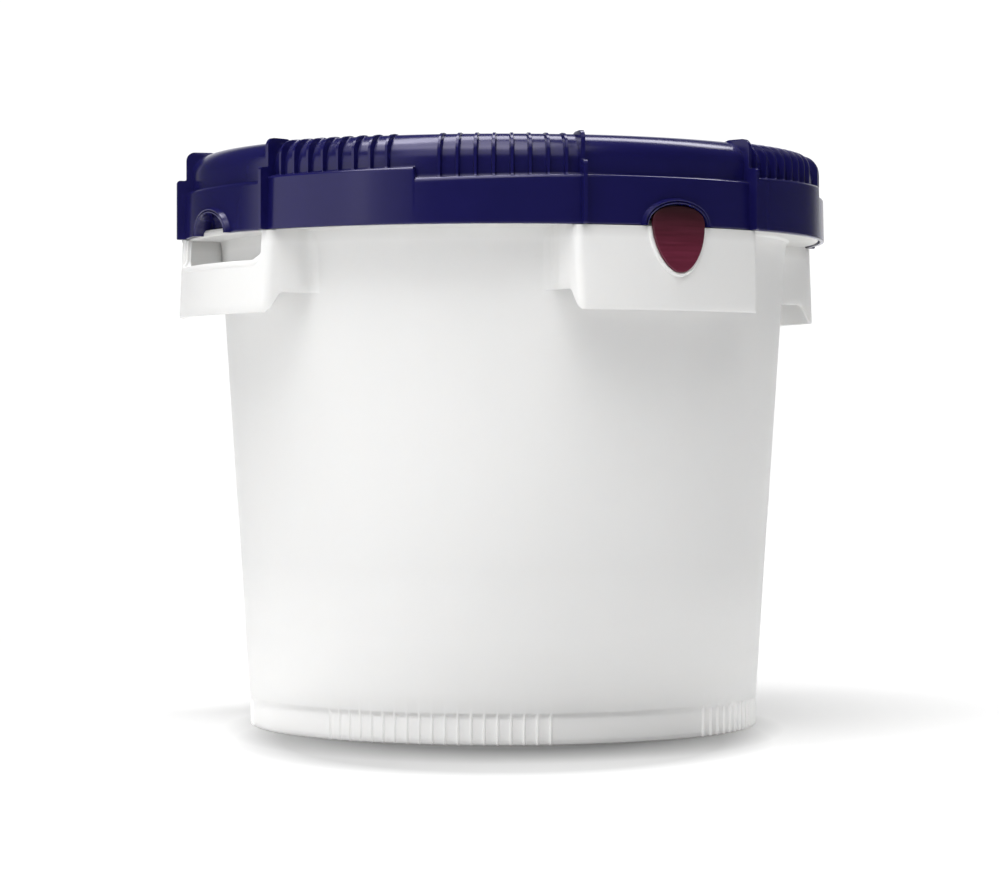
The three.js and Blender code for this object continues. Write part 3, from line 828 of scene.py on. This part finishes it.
def lid_plastic():
    """Dark violet-blue polypropylene, semi-gloss, with fine flow marks and light scuffs."""
    m = Nodes("lid_plastic")
    s = m.shader.inputs
    tone = m.spread(m.noise(16, 5), 0, 1)
    m.link(m.mix(tone, (0.0062, 0.0056, 0.062), (0.0078, 0.0066, 0.072)), s["Base Color"])
    m.link(m.spread(m.noise(900, 3), 0.2, 0.225), s["Roughness"])
    s["IOR"].default_value = 1.46
    s["Specular IOR Level"].default_value = 0.62
    s["Specular Tint"].default_value = (0.84, 0.8, 1.0, 1.0)
    grain = m.bump(m.noise(3200, 2), 0.00003, 0.3)
    m.link(m.bump(m.noise(30, 2, (1, 1, 0.5)), 0.0001, 0.3, grain), s["Normal"])
    return m.material


def seal_plastic():
    """Dark red plastic with faint level flow lines, darkened towards its top by painted shade from the lid's
    arch.
    """
    m = Nodes("seal_plastic")
    s = m.shader.inputs
    lines = m.noise(700, 3, (0.06, 0.06, 1))
    red = m.mix(m.spread(lines, 0, 1), (0.1, 0.01, 0.026), (0.145, 0.016, 0.042))
    # Painted shade: the seal's top is painted darker where the lid's arch shades it.
    deep = m.mix(m.spread(m.height(), 0, 1, 0.278, 0.302), (1, 1, 1), (0.2, 0.28, 0.2))
    m.link(m.product(red, deep), s["Base Color"])
    m.link(m.spread(lines, 0.3, 0.42), s["Roughness"])
    m.link(m.bump(lines, 0.00006, 0.35), s["Normal"])
    return m.material


def foam():
    """Pale closed-cell foam."""
    m = Nodes("foam")
    s = m.shader.inputs
    cells = m.noise(1400, 3)
    m.link(m.mix(m.spread(cells, 0, 1), (0.6, 0.58, 0.53), (0.72, 0.7, 0.65)), s["Base Color"])
    s["Roughness"].default_value = 0.9
    m.link(m.bump(cells, 0.0003, 0.6), s["Normal"])
    return m.material


def floor_paper():
    """The studio floor: white paper, shaded round the drum's foot, which glows towards its far edge."""
    m = Nodes("studio_floor")
    s = m.shader.inputs
    paper = m.mix(m.spread(m.noise(3, 3), 0, 1), (0.8, 0.8, 0.8), (0.82, 0.82, 0.82))
    for centre, longer, reach, dark in CONTACT_SHADOWS:
        near = m.spread(m.distance(studio(*centre), CAMERA_AZIMUTH, longer), 0, 1, *reach)
        paper = m.product(paper, m.mix(near, (dark, dark, dark), (1, 1, 1)))
    m.link(paper, s["Base Color"])
    s["Roughness"].default_value = 0.8
    bands = m.tree.nodes.new("ShaderNodeFloatCurve")
    m.link(m.spread(m.distance(studio(*GLOW_FROM)), 0, 1, 0, GLOW_REACH), bands.inputs["Value"])
    points = bands.mapping.curves[0].points
    for reach, glow in FLOOR_GLOW[2:]:
        points.new(reach / GLOW_REACH, glow / FLOOR_GLOW[-1][1])
    for point, (reach, glow) in zip(points, FLOOR_GLOW):
        point.location = (reach / GLOW_REACH, glow / FLOOR_GLOW[-1][1])
    bands.mapping.update()
    s["Emission Color"].default_value = (1, 1, 1, 1)
    m.link(m.spread(bands.outputs["Value"], 0, FLOOR_GLOW[-1][1], 0, 1), s["Emission Strength"])
    return m.material


# ---------------------------------------------------------------- studio

CAMERA_AZIMUTH = -29.8
CAMERA_DISTANCE = 1.9584
CAMERA_HEIGHT = 0.1759
FLOOR_RADIUS = 6.0
GLOW_FROM, GLOW_REACH = (0, 3.0, 0), 9.0
FLOOR_GLOW = [(0.0, 0.03), (2.7, 0.03), (3.3, 0.03), (4.2, 0.45), (6.0, 1.0), (9.0, 1.0)]
CONTACT_SHADOWS = [((0, 0.031, 0), 1.33, (0.109, 0.169), 0.29), ((0, 0.106, 0), 1.49, (0.127, 0.156), 0.62)]


def studio(right, near, up):
    """A place in the studio: metres to the camera's right, towards the camera and up from the foot."""
    a = math.radians(CAMERA_AZIMUTH)
    toward = Vector((math.sin(a), -math.cos(a), 0))
    sideways = Vector((math.cos(a), math.sin(a), 0))
    return sideways * right + toward * near + Vector((0, 0, up))


def aim(obj, place, target):
    obj.location = place
    obj.rotation_euler = (target - place).to_track_quat("-Z", "Y").to_euler()


def add_camera():
    data = bpy.data.cameras.new("camera")
    data.sensor_width = 36.0
    data.lens = 114.89
    data.shift_x, data.shift_y = -0.003, -0.0014
    data.clip_end = 60
    camera = bpy.data.objects.new("camera", data)
    bpy.context.scene.collection.objects.link(camera)
    aim(camera, studio(0, CAMERA_DISTANCE, CAMERA_HEIGHT), Vector((0, 0, CAMERA_HEIGHT)))
    bpy.context.scene.camera = camera


def add_softbox(name, place, target, width, height, watts):
    data = bpy.data.lights.new(name, "AREA")
    data.shape = "RECTANGLE"
    data.size, data.size_y = width, height
    data.energy = watts
    light = bpy.data.objects.new(name, data)
    bpy.context.scene.collection.objects.link(light)
    aim(light, place, target)


def add_studio():
    turn = np.radians(np.arange(0, 360, 5))
    edge = np.stack([np.cos(turn), np.sin(turn), np.zeros_like(turn)], axis=1) * FLOOR_RADIUS / MM
    floor = mesh_object("floor", edge, [tuple(range(len(edge)))])
    floor.data.materials.append(floor_paper())

    middle = Vector((0, 0, 0.2))
    add_softbox("key", studio(-2.25, 0.8, 0.75), middle, 2.3, 1.4, 9.5)
    add_softbox("key_side", studio(-1.55, 1.75, 0.75), middle, 0.9, 1.4, 1.8)
    add_softbox("front_top", studio(-0.2, 2.4, 2.4), middle, 3.6, 2.0, 29)
    add_softbox("steep", studio(-0.5, 1.0, 2.3), middle, 2.4, 1.4, 38)
    add_softbox("overhead", studio(0.3, -0.35, 2.0), studio(0.6, 0.25, 0.3), 2.8, 0.66, 46)

    world = bpy.data.worlds.new("studio")
    bpy.context.scene.world = world
    world.use_nodes = True
    tree = world.node_tree
    coord = tree.nodes.new("ShaderNodeTexCoord")
    dot = tree.nodes.new("ShaderNodeVectorMath")
    dot.operation = "DOT_PRODUCT"
    dot.inputs[1].default_value = studio(0, -1, 0)
    tree.links.new(coord.outputs["Generated"], dot.inputs[0])
    ramp = tree.nodes.new("ShaderNodeMapRange")
    ramp.interpolation_type = "SMOOTHSTEP"
    tree.links.new(dot.outputs["Value"], ramp.inputs["Value"])
    ramp.inputs["From Min"].default_value = 0.8
    ramp.inputs["From Max"].default_value = 0.985
    ramp.inputs["To Min"].default_value = 0.06
    ramp.inputs["To Max"].default_value = 1.06
    background = tree.nodes["Background"]
    tree.links.new(ramp.outputs["Result"], background.inputs["Strength"])
    background.inputs["Color"].default_value = (1, 1, 1, 1)
    bpy.context.scene.view_settings.view_transform = "Standard"


# ---------------------------------------------------------------- assembly

DRUM_NODES = ["base_ring", "drum_floor", "drum_wall", "neck_flange"]
DRUM_NODES += ["seal_bracket_front", "seal_bracket_rear", "grip_bracket_left", "grip_bracket_right"]

add_camera()
add_studio()

pieces = [
    (build_drum(), "drum", drum_plastic(), "drum_plastic", DRUM_NODES),
    (build_lid(), "lid", lid_plastic(), "lid_plastic", ["lid_ring", "lid_panel"]),
    (build_gasket(), "lid", foam(), "foam", ["lid_gasket"]),
]
red = seal_plastic()
pieces.append((build_seal("front_tamper_seal", 0), "front_seal", red, "seal_plastic", ["seal_front"]))
pieces.append((build_seal("rear_tamper_seal", 180), "rear_seal", red, "seal_plastic", ["seal_rear"]))

for piece, body, material, slot, nodes in pieces:
    piece.data.materials.clear()
    piece.data.materials.append(material)
    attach(piece, body)
    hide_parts(*nodes)
